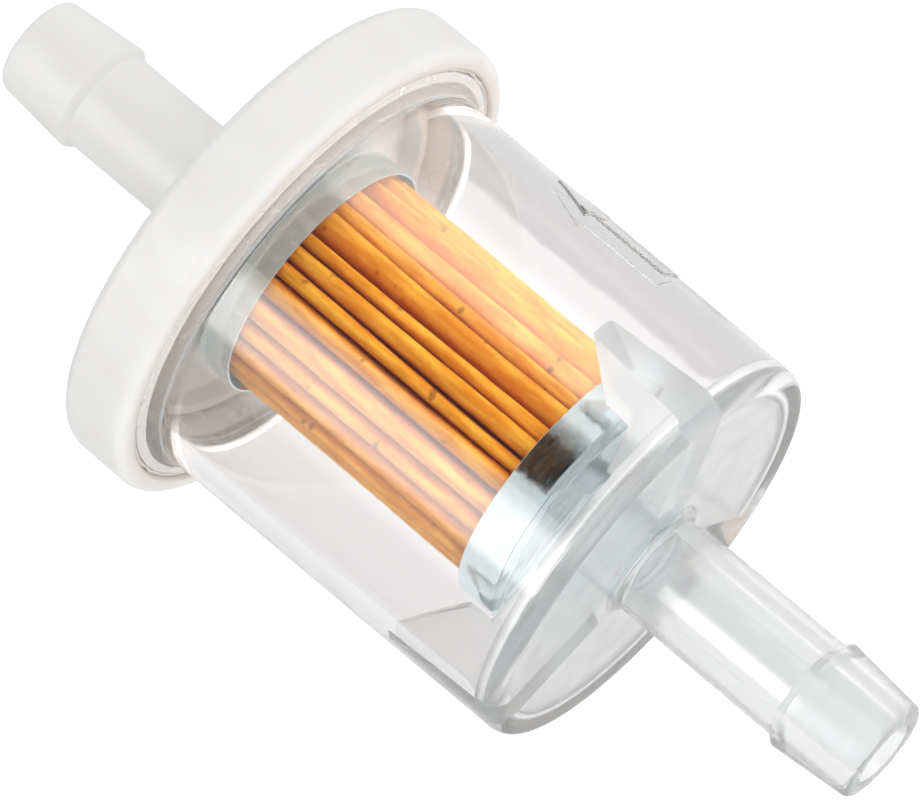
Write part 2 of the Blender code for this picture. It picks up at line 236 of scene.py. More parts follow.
rng = random.Random(7)


# ---------------------------------------------------------------- mesh helpers

def rounded(corners):
    """The closed outline through (station, radius, rounding) corners, with an arc at each rounded one."""
    outline = []
    count = len(corners)
    for index, (x, r, rounding) in enumerate(corners):
        if rounding == 0:
            outline.append((x, r))
            continue
        before = corners[index - 1]
        after = corners[(index + 1) % count]
        to_before = math.atan2(before[1] - r, before[0] - x)
        to_after = math.atan2(after[1] - r, after[0] - x)
        opening = (to_after - to_before + math.pi) % (2 * math.pi) - math.pi
        bisector = to_before + opening / 2
        reach = rounding / math.sin(abs(opening) / 2)
        centre = (x + reach * math.cos(bisector), r + reach * math.sin(bisector))
        sweep = math.copysign(math.pi - abs(opening), opening)
        for step in range(ARC_STEPS + 1):
            angle = bisector + math.pi + sweep * (0.5 - step / ARC_STEPS)
            outline.append((centre[0] + rounding * math.cos(angle), centre[1] + rounding * math.sin(angle)))
    return outline


def closer(outline):
    """The same closed outline with no step longer than LONGEST_STEP."""
    dense = []
    for index, (x, r) in enumerate(outline):
        next_x, next_r = outline[(index + 1) % len(outline)]
        parts = max(1, math.ceil(math.hypot(next_x - x, next_r - r) / LONGEST_STEP))
        if r == 0 and next_r == 0:
            parts = 1
        for part in range(parts):
            dense.append((x + (next_x - x) * part / parts, r + (next_r - r) * part / parts))
    return dense


def at_turn(turn, radius, aside=0.0):
    """The (y, z) point at a radius along the line at this turn, moved aside from that line."""
    return (
        -radius * math.sin(turn) - aside * math.cos(turn),
        radius * math.cos(turn) - aside * math.sin(turn),
    )


def new_object(shape, name):
    """Turns a bmesh into a smooth-shaded object of the scene."""
    bmesh.ops.recalc_face_normals(shape, faces=shape.faces[:])
    mesh = bpy.data.meshes.new(name)
    shape.to_mesh(mesh)
    shape.free()
    mesh.shade_smooth()
    mesh.set_sharp_from_angle(angle=SMOOTH_ANGLE)
    made = bpy.data.objects.new(name, mesh)
    bpy.context.collection.objects.link(made)
    return made


def revolved(name, outline, radius_at=None, steps=ROUND_STEPS):
    """A closed body of (station, radius) points turned about the X axis; radius_at may vary each radius."""
    shape = bmesh.new()
    rings = []
    for x, radius in closer(outline):
        if radius == 0:
            rings.append([shape.verts.new((x, 0, 0))] * steps)
            continue
        ring = []
        for step in range(steps):
            turn = 2 * math.pi * step / steps
            reach = radius_at(x, radius, turn) if radius_at else radius
            ring.append(shape.verts.new((x, *at_turn(turn, reach))))
        rings.append(ring)
    for index, ring in enumerate(rings):
        following = rings[(index + 1) % len(rings)]
        if ring[0] is ring[1] and following[0] is following[1]:
            continue
        for step in range(steps):
            after = (step + 1) % steps
            corners = [ring[step], following[step], following[after], ring[after]]
            shape.faces.new(list(dict.fromkeys(corners)))
    return new_object(shape, name)


def applied(target):
    """Bakes an object's modifiers into its mesh."""
    graph = bpy.context.evaluated_depsgraph_get()
    mesh = bpy.data.meshes.new_from_object(target.evaluated_get(graph))
    target.modifiers.clear()
    target.data = mesh
    return target


def joined(target, helpers):
    """Unites helper solids with the target and removes them."""
    for helper in helpers:
        modifier = target.modifiers.new(helper.name, "BOOLEAN")
        modifier.operation = "UNION"
        modifier.solver = "EXACT"
        modifier.object = helper
    applied(target)
    for helper in helpers:
        bpy.data.objects.remove(helper, do_unlink=True)
    target.data.shade_smooth()
    target.data.set_sharp_from_angle(angle=SMOOTH_ANGLE)
    return target


def even_shading(target):
    """Lets broad flat faces keep flat shading beside their rounded edges."""
    modifier = target.modifiers.new("even_shading", "WEIGHTED_NORMAL")
    modifier.keep_sharp = True
    modifier.weight = 80
    return target


def finished(piece, slot, material, *nodes):
    """Gives a piece its material, lets it ride on the body, and hides the nodes that it stands for; the slot
    argument is not used.
    """
    piece.data.materials.clear()
    piece.data.materials.append(material)
    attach(piece, "root")
    if nodes:
        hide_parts(*nodes)
    return piece


# ---------------------------------------------------------------- node helpers

class Nodes:
    """A node tree, with the sums that the materials and the world share."""

    def __init__(self, tree):
        self.nodes = tree.nodes
        self.links = tree.links

    def feed(self, socket, value):
        """Sets a socket to a number or a colour, or links another node's output to it."""
        if isinstance(value, bpy.types.NodeSocket):
            self.links.new(value, socket)
        elif isinstance(value, tuple):
            socket.default_value = (*value, 1)
        else:
            socket.default_value = value

    def maths(self, operation, first, second=0.0):
        """The output of one sum on numbers or on other nodes' outputs."""
        node = self.nodes.new("ShaderNodeMath")
        node.operation = operation
        self.feed(node.inputs[0], first)
        self.feed(node.inputs[1], second)
        return node.outputs["Value"]

    def spread(self, value, low, high, from_low=0.3, from_high=0.7):
        """Goes softly from low to high as a value goes from from_low to from_high."""
        node = self.nodes.new("ShaderNodeMapRange")
        node.interpolation_type = "SMOOTHSTEP"
        inputs = {"From Min": from_low, "From Max": from_high, "To Min": low, "To Max": high, "Value": value}
        for socket, number in inputs.items():
            self.feed(node.inputs[socket], number)
        return node.outputs["Result"]

    def pick(self, switch, when_off, when_on):
        """One value or the other, by a switch that is 0 or 1."""
        return self.spread(switch, when_off, when_on, 0.0, 1.0)


class Finish(Nodes):
    """A Principled material with procedural variation, in the object's own coordinates."""

    def __init__(self, name, colour, roughness, **inputs):
        self.material = bpy.data.materials.new(name)
        self.material.use_nodes = True
        super().__init__(self.material.node_tree)
        self.shader = self.nodes["Principled BSDF"]
        self.output = self.nodes["Material Output"]
        self.place = self.nodes.new("ShaderNodeTexCoord").outputs["Object"]
        self.height = None
        self.shader.inputs["Base Color"].default_value = (*colour, 1)
        self.shader.inputs["Roughness"].default_value = roughness
        for socket, value in inputs.items():
            self.shader.inputs[socket.replace("_", " ")].default_value = value

    def noise(self, size, stretch=(1, 1, 1), detail=3.0):
        """Noise from 0 to 1 with lumps of about size metres, longer along an axis with a larger stretch."""
        mapping = self.nodes.new("ShaderNodeMapping")
        mapping.inputs["Scale"].default_value = [1 / (size * part) for part in stretch]
        self.links.new(self.place, mapping.inputs["Vector"])
        texture = self.nodes.new("ShaderNodeTexNoise")
        texture.inputs["Scale"].default_value = 1.0
        texture.inputs["Detail"].default_value = detail
        self.links.new(mapping.outputs["Vector"], texture.inputs["Vector"])
        return texture.outputs["Fac"]

    def blend_colours(self, factor, first, second):
        """A colour between two, each a plain colour or another node's output."""
        node = self.nodes.new("ShaderNodeMix")
        node.data_type = "RGBA"
        self.feed(node.inputs[0], factor)
        self.feed(node.inputs[6], first)
        self.feed(node.inputs[7], second)
        return node.outputs[2]

    def radius_and_station(self):
        """Outputs for the distance from the X axis and the station, in metres."""
        parts = self.nodes.new("ShaderNodeSeparateXYZ")
        self.links.new(self.place, parts.inputs["Vector"])
        squares = [self.maths("MULTIPLY", parts.outputs[axis], parts.outputs[axis]) for axis in ("Y", "Z")]
        return self.maths("SQRT", self.maths("ADD", *squares)), parts.outputs["X"]

    def colour(self, output):
        """Takes the base colour from a node's output."""
        self.links.new(output, self.shader.inputs["Base Color"])

    def roughness(self, output):
        """Takes the roughness from a node's output."""
        self.links.new(output, self.shader.inputs["Roughness"])

    def bump(self, output, depth):
        """Adds relief whose full height is depth metres."""
        node = self.nodes.new("ShaderNodeBump")
        node.inputs["Distance"].default_value = depth
        self.links.new(output, node.inputs["Height"])
        if self.height is not None:
            self.links.new(self.height, node.inputs["Normal"])
        self.height = node.outputs["Normal"]
        self.links.new(self.height, self.shader.inputs["Normal"])


# ---------------------------------------------------------------- materials

def clear_plastic(name, tint, haze, smoothest, roughest):
    """Clear moulded plastic; haze is the share of light that it scatters."""
    finish = Finish(name, tint, smoothest, IOR=PLASTIC_IOR, Transmission_Weight=1.0 - haze)
    finish.roughness(finish.spread(finish.noise(2.5 * MM), smoothest, roughest))
    finish.bump(finish.noise(5 * MM, detail=1.0), 0.02 * MM)
    finish.bump(finish.noise(0.35 * MM, stretch=(2.5, 1, 1)), 0.0006 * MM)
    absorption = finish.nodes.new("ShaderNodeVolumeAbsorption")
    absorption.inputs["Color"].default_value = (0.86, 0.87, 0.87, 1)
    absorption.inputs["Density"].default_value = 40.0
    finish.links.new(absorption.outputs["Volume"], finish.output.inputs["Volume"])
    return finish.material


def white_nylon():
    """Natural nylon that lets a little light in, with warm shade painted at the socket's edge where the bowl
    is welded in.
    """
    finish = Finish(
        "white_cap",
        (0.86, 0.85, 0.83),
        0.36,
        IOR=PLASTIC_IOR,
        Subsurface_Weight=0.25,
        Subsurface_Scale=1.0 * MM,
    )
    finish.shader.inputs["Subsurface Radius"].default_value = (1.0, 0.85, 0.7)
    cloud = finish.spread(finish.noise(4 * MM, stretch=(2, 1, 1)), 0.0, 1.0)
    plain = finish.blend_colours(cloud, (0.86, 0.855, 0.845), (0.83, 0.82, 0.805))
    # Painted shade: the colour turns darker and warmer in the socket near the cap's front, standing in for
    # the dim light there and the light that bounces off the paper.
    radius, station = finish.radius_and_station()
    near_front = finish.spread(station, 0.0, 1.0, CAP_FRONT - 0.8 * MM, CAP_FRONT - 0.15 * MM)
    in_socket = finish.spread(radius, 1.0, 0.0, SOCKET_RADIUS - 0.1 * MM, SOCKET_RADIUS + 0.9 * MM)
    painted_socket_shade = finish.maths("MULTIPLY", near_front, finish.maths("MULTIPLY", in_socket, 0.5))
    finish.colour(finish.blend_colours(painted_socket_shade, plain, (0.84, 0.77, 0.7)))
    finish.roughness(finish.spread(finish.noise(1.2 * MM), 0.45, 0.6))
    finish.bump(finish.noise(0.5 * MM, detail=5.0), 0.004 * MM)
    finish.bump(finish.noise(6 * MM, detail=1.0), 0.05 * MM)
    return finish.material


def zinc_plate():
    """Bright zinc on thin pressed steel, a little cloudy and dented."""
    finish = Finish("zinc_plate", (0.66, 0.72, 0.74), 0.2, Metallic=1.0)
    cloud = finish.spread(finish.noise(1.6 * MM, detail=4.0), 0.0, 1.0)
    finish.colour(finish.blend_colours(cloud, (0.72, 0.86, 0.89), (0.80, 0.90, 0.92)))
    finish.roughness(finish.spread(finish.noise(0.8 * MM, stretch=(0.5, 1, 1), detail=4.0), 0.1, 0.2))
    finish.bump(finish.noise(3.4 * MM, detail=1.0), 0.1 * MM)
    finish.bump(finish.noise(1.3 * MM, stretch=(0.6, 1, 1), detail=2.0), 0.022 * MM)
    finish.bump(finish.noise(0.3 * MM, stretch=(0.5, 3, 3), detail=3.0), 0.0008 * MM)
    return finish.material


def filter_paper():
    """Resin-treated paper: fibres, stains and dark specks, with shade painted darker and redder down between
    the pleats.
    """
    finish = Finish("filter_paper", (0.9, 0.36, 0.03), 0.75, Specular_IOR_Level=0.1)
    fibre = finish.spread(finish.noise(0.5 * MM, stretch=(5, 1, 1), detail=6.0), 0.0, 1.0)
    paper = finish.blend_colours(fibre, (0.74, 0.25, 0.01), (0.97, 0.48, 0.045))
    stain = finish.spread(finish.noise(3.5 * MM, stretch=(2, 1, 1), detail=2.0), 0.0, 0.35, 0.45, 0.8)
    paper = finish.blend_colours(stain, paper, (0.70, 0.22, 0.01))
    speck = finish.spread(finish.noise(0.9 * MM, stretch=(1, 1.6, 1.6), detail=1.0), 0.0, 0.6, 0.7, 0.76)
    paper = finish.blend_colours(speck, paper, (0.16, 0.06, 0.02))
    # Painted shade: the colour turns darker and redder towards the valleys, standing in for the shade and
    # the reddened bounce light deep between the pleats.
    radius, _ = finish.radius_and_station()
    crest = finish.spread(radius, 0.0, 1.0, 6.55 * MM, PLEAT_OUTER_RADIUS - 0.1 * MM)
    finish.colour(finish.blend_colours(crest, (0.44, 0.06, 0.003), paper))
    finish.roughness(finish.spread(finish.noise(0.6 * MM), 0.65, 0.9))
    finish.bump(finish.noise(0.16 * MM, stretch=(3, 1, 1), detail=5.0), 0.02 * MM)
    finish.bump(finish.noise(1.5 * MM, stretch=(4, 1, 1), detail=2.0), 0.06 * MM)
    return finish.material


def cured_plastisol():
    """The tan, slightly translucent bed that seals the paper into an end cap."""
    finish = Finish("potting", (0.55, 0.36, 0.14), 0.5, Subsurface_Weight=0.2, Subsurface_Scale=0.6 * MM)
    finish.colour(finish.blend_colours(finish.noise(1.4 * MM), (0.60, 0.40, 0.17), (0.46, 0.28, 0.10)))
    finish.roughness(finish.spread(finish.noise(1.0 * MM), 0.4, 0.65))
    finish.bump(finish.noise(0.9 * MM, detail=4.0), 0.05 * MM)
    return finish.material


def tinned_steel():
    """Dull tinned sheet, drawn along the tube."""
    finish = Finish("tube_steel", (0.62, 0.62, 0.6), 0.35, Metallic=1.0)
    finish.colour(finish.blend_colours(finish.noise(1.8 * MM), (0.68, 0.68, 0.66), (0.54, 0.54, 0.52)))
    finish.roughness(finish.spread(finish.noise(0.5 * MM, stretch=(6, 1, 1)), 0.25, 0.45))
    finish.bump(finish.noise(0.2 * MM, stretch=(8, 1, 1)), 0.003 * MM)
    return finish.material


def nitrile_rubber():
    """Black rubber with a fine grain."""
    finish = Finish("grommet_rubber", (0.03, 0.03, 0.03), 0.6)
    finish.colour(finish.blend_colours(finish.noise(1.1 * MM), (0.025, 0.025, 0.026), (0.05, 0.048, 0.046)))
    finish.roughness(finish.spread(finish.noise(0.7 * MM), 0.5, 0.75))
    finish.bump(finish.noise(0.15 * MM, detail=4.0), 0.01 * MM)
    return finish.material


# ---------------------------------------------------------------- mouldings

def barb_corners(mouth, foot, direction):
    """A hose barb's outer corners from its mouth to its foot; direction is +1 where it points to +X."""
    ridge = mouth - direction * BARB_LENGTH
    shoulder = ridge - direction * SHOULDER_LENGTH
    return [
        (mouth, BORE_RADIUS, EDGE_ROUNDING),
        (mouth, NOSE_RADIUS, NOSE_ROUNDING),
        (ridge, RIDGE_RADIUS, RIDGE_ROUNDING),
        (shoulder, STEM_RADIUS, EDGE_ROUNDING),
        (foot, STEM_RADIUS, FOOT_FILLET),
    ]


def bowl_wall_radius(x):
    """The drafted wall's outer radius at a station between the neck and the bottom."""
    along = (x - BOWL_NECK) / (BOWL_BOTTOM - BOWL_NECK)
    return BOWL_NECK_RADIUS + along * (BOWL_BOTTOM_RADIUS - BOWL_NECK_RADIUS)


def clear_slot(place):
    """The material slot of the bowl's face at this place; the arrow's sides are frosted like the fins."""
    radius = math.hypot(place.y, place.z)
    height = radius - bowl_wall_radius(place.x)
    if place.x > BOWL_FLOOR - EDGE_ROUNDING:
        return THICK_SLOT
    if place.x > FIN_TOP - EDGE_ROUNDING and radius < FIN_REACH:
        return FIN_SLOT
    if place.x < ARROW_TAIL + EDGE_ROUNDING and ARROW_SKIN < height < ARROW_HEIGHT - ARROW_SKIN:
        return FIN_SLOT
    if place.x < FLANGE_FRONT + EDGE_ROUNDING:
        return FLANGE_SLOT
    return WALL_SLOT


def soften(shape, edges, rounding):
    """Rounds some edges of a bmesh."""
    bmesh.ops.bevel(shape, geom=edges, offset=rounding, segments=BEVEL_STEPS, profile=0.5, affect="EDGES")


def fin(name, turn):
    """A drafted rib with softened edges, sunk a little into the wall and the floor."""
    foot = BOWL_FLOOR + FIN_SINK
    root = BOWL_BOTTOM_RADIUS - BOWL_WALL + FIN_SINK
    profile = [
        (FIN_TOP, root),
        (FIN_SHOULDER, FIN_EDGE_RADIUS),
        (FIN_LEDGE, FIN_EDGE_RADIUS),
        (FIN_LEDGE, FIN_FOOT_RADIUS),
        (foot, FIN_FOOT_RADIUS),
        (foot, root),
    ]
    growth = (FIN_FOOT_HALF_WIDTH - FIN_TOP_HALF_WIDTH) / (foot - FIN_TOP)
    shape = bmesh.new()
    sides = []
    for direction in (-1, 1):
        side = []
        for x, radius in profile:
            half = FIN_TOP_HALF_WIDTH + growth * (x - FIN_TOP)
            side.append(shape.verts.new((x, *at_turn(turn, radius, direction * half))))
        sides.append(side)
        shape.faces.new(side)
    for index in range(len(profile)):
        after = (index + 1) % len(profile)
        shape.faces.new((sides[0][index], sides[0][after], sides[1][after], sides[1][index]))
    bmesh.ops.recalc_face_normals(shape, faces=shape.faces[:])
    soften(shape, shape.edges[:], FIN_ROUNDING)
    return new_object(shape, name)


def flow_arrow(name):
    """A raised arrow with softened edges, bent round the bowl's wall and pointing towards -X."""
    outline = [
        (ARROW_TIP, 0.0),
        (ARROW_BARB, ARROW_HALF_WIDTH),
        (ARROW_BARB, SHAFT_HALF_WIDTH),
        (ARROW_TAIL, SHAFT_HALF_WIDTH),
        (ARROW_TAIL, -SHAFT_HALF_WIDTH),
        (ARROW_BARB, -SHAFT_HALF_WIDTH),
        (ARROW_BARB, -ARROW_HALF_WIDTH),
    ]
    shape = bmesh.new()
    base = shape.faces.new([shape.verts.new((x, side, -ARROW_SINK)) for x, side in outline])
    raised = bmesh.ops.extrude_face_region(shape, geom=[base])["geom"]
    for vert in [part for part in raised if isinstance(part, bmesh.types.BMVert)]:
        vert.co.z = ARROW_HEIGHT
    top_edges = [edge for edge in shape.edges if all(vert.co.z > 0 for vert in edge.verts)]
    soften(shape, top_edges, ARROW_ROUNDING)
    for cut in range(1, ARROW_SLICES):
        side = ARROW_HALF_WIDTH * (2 * cut / ARROW_SLICES - 1)
        geometry = shape.verts[:] + shape.edges[:] + shape.faces[:]
        bmesh.ops.bisect_plane(shape, geom=geometry, plane_co=(0, side, 0), plane_no=(0, 1, 0), dist=1e-9)
    for vert in shape.verts:
        x, side, height = vert.co
        surface = bowl_wall_radius(x)
        vert.co = (x, *at_turn(side / surface, surface + height))
    return new_object(shape, name)


def bowl_moulding():
    """The clear barb, bottom, wall and flange, with the fins and the arrow on them."""
    inner_neck = BOWL_NECK_RADIUS - BOWL_WALL
    inner_bottom = BOWL_BOTTOM_RADIUS - BOWL_WALL
    corners = barb_corners(INLET_MOUTH, BOWL_BOTTOM, 1) + [
        (BOWL_BOTTOM, BOWL_BOTTOM_RADIUS, BOTTOM_ROUNDING),
        (BOWL_NECK, BOWL_NECK_RADIUS, 0),
        (FLANGE_FRONT, BOWL_NECK_RADIUS, FLANGE_RADIUS - BOWL_NECK_RADIUS - FLANGE_LEDGE),
        (FLANGE_FRONT, FLANGE_RADIUS, EDGE_ROUNDING),
        (FLANGE_BACK, FLANGE_RADIUS, 0.2 * MM),
        (FLANGE_BACK, inner_neck, 0.3 * MM),
        (BOWL_FLOOR, inner_bottom, FLOOR_FILLET),
        (BOWL_FLOOR, FUNNEL_RADIUS, 0.3 * MM),
        (BOWL_FLOOR + FUNNEL_DEPTH, BORE_RADIUS, 0.4 * MM),
    ]
    bowl = revolved("bowl_moulding", rounded(corners))
    helpers = [fin(f"fin_{number}", turn) for number, turn in enumerate(FIN_TURNS, start=1)]
    joined(bowl, helpers + [flow_arrow("arrow")])
    return even_shading(bowl)


def cap_moulding():
    """The white barb and cap, with the socket for the bowl's flange, a skirt and the grommet's spigot."""
    corners = barb_corners(OUTLET_MOUTH, CAP_BACK, -1) + [
        (CAP_BACK, CAP_RADIUS, CAP_ROUNDING),
        (CAP_FRONT, CAP_RADIUS, CAP_ROUNDING),
        (CAP_FRONT, SOCKET_RADIUS, 0.25 * MM),
        (CAP_FLOOR, SOCKET_RADIUS, CAP_FILLET),
        (CAP_FLOOR, SKIRT_OUTER_RADIUS, CAP_FILLET),
        (SKIRT_FRONT, SKIRT_OUTER_RADIUS, CAP_FILLET),
        (SKIRT_FRONT, SKIRT_INNER_RADIUS, CAP_FILLET),
        (CAP_FLOOR, SKIRT_INNER_RADIUS, CAP_FILLET),
        (CAP_FLOOR, SPIGOT_RADIUS, 0.3 * MM),
        (SPIGOT_END, SPIGOT_RADIUS, CAP_FILLET),
        (SPIGOT_END, BORE_RADIUS, EDGE_ROUNDING),
    ]
    return even_shading(revolved("cap_moulding", rounded(corners)))


def weld_flash():
    """The thin crinkled bead that the spin weld leaves between the bowl's flange and the cap's socket."""
    middle = (FLANGE_RADIUS + SOCKET_RADIUS) / 2
    station = FLANGE_FRONT - FLASH_SINK

    def crinkle(x, radius, turn):
        """The bead's radius, uneven all along."""
        place = Vector((math.cos(turn), math.sin(turn), 0)) * CRINKLE_FINENESS
        return radius + CRINKLE * noise.noise(place + Vector((0, 0, x / MM)))

    outline = []
    for step in range(FLASH_STEPS):
        angle = 2 * math.pi * step / FLASH_STEPS
        outline.append((station + FLASH_RADIUS * math.cos(angle), middle + FLASH_RADIUS * math.sin(angle)))
    return revolved("weld_flash", outline, crinkle, FLASH_TURN_STEPS)


# ---------------------------------------------------------------- filter element

def dented(x, radius, turn):
    """Sheet metal that isn't quite round."""
    place = Vector((math.cos(turn), math.sin(turn), x / (8 * MM))) * 1.6
    return radius + DENT * noise.noise(place) * min(1.0, radius / (5 * MM))


def inlet_pressing():
    """The closed end cap: a flat disc inside a raised bead, and a skirt over the paper."""
    radius = inlet_pressing_high.z - DENT
    inside = radius - SHEET
    top = inlet_pressing_high.x
    disc = top - DISC_DEPTH
    edge = inlet_pressing_low.x
    corners = [
        (disc, 0, 0),
        (disc, BEAD_INNER_RADIUS, 0.2 * MM),
        (top, BEAD_INNER_RADIUS + 0.4 * MM, 0.25 * MM),
        (top, radius, SHEET_BEND),
        (edge, radius, 0.05 * MM),
        (edge, radius - RIM, 0.04 * MM),
        (edge + RIM_SLOPE, inside, 0),
        (top - SHEET, inside, SHEET_BEND - SHEET),
        (top - SHEET, BEAD_INNER_RADIUS + 0.5 * MM, 0.2 * MM),
        (disc - SHEET, BEAD_INNER_RADIUS + 0.1 * MM, 0.2 * MM),
        (disc - SHEET, 0, 0),
    ]
    return even_shading(revolved("inlet_pressing", rounded(corners), dented))


def outlet_pressing():
    """The open end cap: a flat ring round the grommet's hole, and a skirt over the paper."""
    radius = outlet_pressing_high.z - DENT
    inside = radius - SHEET
    face = outlet_pressing_low.x
    edge = outlet_pressing_high.x
    corners = [
        (face, GROMMET_HOLE, 0.08 * MM),
        (face, radius, SHEET_BEND),
        (edge, radius, 0.05 * MM),
        (edge, radius - RIM, 0.04 * MM),
        (edge - RIM_SLOPE, inside, 0),
        (face + SHEET, inside, SHEET_BEND - SHEET),
        (face + SHEET, GROMMET_HOLE, 0.08 * MM),
    ]
    return even_shading(revolved("outlet_pressing", rounded(corners), dented))


def valley_turns():
    """The turns of the inner folds from the seam, uneven as in a hand-gathered element."""
    before = [rng.uniform(0.8, 1.2) for _ in range(PLEATS_BEFORE)]
    scale = FIRST_FRONT_VALLEY / (sum(before) + 0.5)
    turns = []
    turn = 0.5 * scale
    for width in before:
        turns.append(turn)
        turn += width * scale
    turns.append(FIRST_FRONT_VALLEY)
    for degrees in FRONT_PLEAT_DEGREES:
        turns.append(turns[-1] + degrees)
    after = [rng.uniform(0.8, 1.2) for _ in range(PLEATS_AFTER)]
    scale = (360 - turns[-1]) / (sum(after) + 0.5)
    for width in after:
        turns.append(turns[-1] + width * scale)
    return [math.radians(turn) for turn in turns]


class Pleat:
    """One outer fold between two valleys, with a crest on its first side and a slope down to the other."""

    def __init__(self, left, right):
        self.left = left
        self.right = right
        self.gap = rng.uniform(0.1, 0.22) * MM
        self.drop = rng.uniform(0.0, 0.25) * MM
        self.slope = rng.uniform(0.5, 1.0)
        self.phase = rng.uniform(0, 2 * math.pi)
        self.waves = rng.uniform(0.4, 1.1)
        self.sway = rng.uniform(0.003, 0.009)

    def line(self, along):
        """The crest's (turn, radius) points from one flank to the other, along from 0 to 1."""
        wave = math.sin(self.phase + 2 * math.pi * self.waves * along)
        top = PLEAT_OUTER_RADIUS - PAPER / 2 - self.drop * (0.6 + 0.4 * wave)
        inset = (PAPER + self.gap * (1 + 0.4 * wave)) / 2 / top
        left = self.left + inset + self.sway * wave
        right = self.right - inset + self.sway * wave
        width = (right - left) * top
        points = []
        for step in range(CREST_STEPS + 1):
            share = (1 - math.cos(math.pi * step / CREST_STEPS)) / 2
            sag = self.slope * (0.85 + 0.15 * wave) * width * share ** 1.6
            first = rolled(share * width, min(CREST_FOLD, width / 2))
            last = rolled((1 - share) * width, min(SHOULDER_FOLD, width / 2))
            points.append((left + (right - left) * share, top - min(sag, DEEPEST_SAG) - first - last))
        return points


def rolled(distance, fold):
    """How far a round fold's surface lies below its top, at a distance from its flank."""
    if distance >= fold:
        return 0.0
    return fold - math.sqrt(fold ** 2 - (fold - distance) ** 2)


def pleat_line(valleys, pleats, along):
    """The folded sheet's centre line at one station, from one flap at the seam round to the other."""
    turns = [math.pi * (step / FOLD_STEPS - 0.5) for step in range(FOLD_STEPS + 1)]
    line = [at_turn(SEAM_TURN, FLAP_RADIUS, FLAP_OFFSET)]
    for index, valley in enumerate(valleys):
        before = valley - valleys[index - 1] if index else 2 * valley
        after = valleys[index + 1] - valley if index + 1 < len(valleys) else 2 * (2 * math.pi - valley)
        room = min(before, after) * (PLEAT_INNER_RADIUS + VALLEY_ROOM)
        fold = min(VALLEY_FOLD, (room - PAPER - VALLEY_GAP) / 2)
        foot = PLEAT_INNER_RADIUS + PAPER / 2 + fold
        for turn in turns:
            line.append(at_turn(SEAM_TURN + valley, foot - fold * math.cos(turn), fold * math.sin(turn)))
        if index < len(pleats):
            line += [at_turn(SEAM_TURN + turn, radius) for turn, radius in pleats[index].line(along)]
    line.append(at_turn(SEAM_TURN, FLAP_RADIUS, -FLAP_OFFSET))
    return line


def beside(line, distance):
    """A line at a constant distance from another, to its left."""
    shifted = []
    last = len(line) - 1
    for index, (y, z) in enumerate(line):
        before = line[max(index - 1, 0)]
        after = line[min(index + 1, last)]
        run = math.hypot(after[0] - before[0], after[1] - before[1])
        shifted.append((
            y - distance * (after[1] - before[1]) / run,
            z + distance * (after[0] - before[0]) / run,
        ))
    return shifted


def paper_pleats():
    """The folded sheet with its thickness, from one end cap to the other, with its two ends closed."""
    valleys = valley_turns()
    pleats = [Pleat(left, right) for left, right in zip(valleys, valleys[1:])]
    shape = bmesh.new()
    rings = []
    for step in range(STATIONS + 1):
        along = step / STATIONS
        x = paper_low.x + (paper_high.x - paper_low.x) * along
        line = pleat_line(valleys, pleats, along)
        section = beside(line, PAPER / 2) + list(reversed(beside(line, -PAPER / 2)))
        rings.append([shape.verts.new((x, y, z)) for y, z in section])
    count = len(rings[0])
    for ring, following in zip(rings, rings[1:]):
        for index in range(count):
            after = (index + 1) % count
            shape.faces.new((ring[index], following[index], following[after], ring[after]))
    for ring in (rings[0], rings[-1]):
        for index in range(count // 2 - 1):
            across = count - 1 - index
            shape.faces.new((ring[index], ring[index + 1], ring[across - 1], ring[across]))
    return new_object(shape, "paper_pleats")


# ---------------------------------------------------------------- stage

def plain_floor():
    """A lit white floor far enough below that the filter, held by its hoses, leaves no shadow on it."""
    shape = bmesh.new()
    bmesh.ops.create_grid(shape, x_segments=8, y_segments=8, size=FLOOR_HALF_SIZE)
    floor = new_object(shape, "floor")
    floor.location.z = -FLOOR_DEPTH
    floor.visible_glossy = False
    floor.visible_diffuse = False
    finish = Finish("floor", (0.02, 0.02, 0.02), 0.9, Emission_Strength=1.0)
    glow = finish.blend_colours(finish.noise(0.4), (1.02, 1.02, 1.02), (1.0, 1.0, 1.0))
    finish.links.new(glow, finish.shader.inputs["Emission Color"])
    floor.data.materials.append(finish.material)


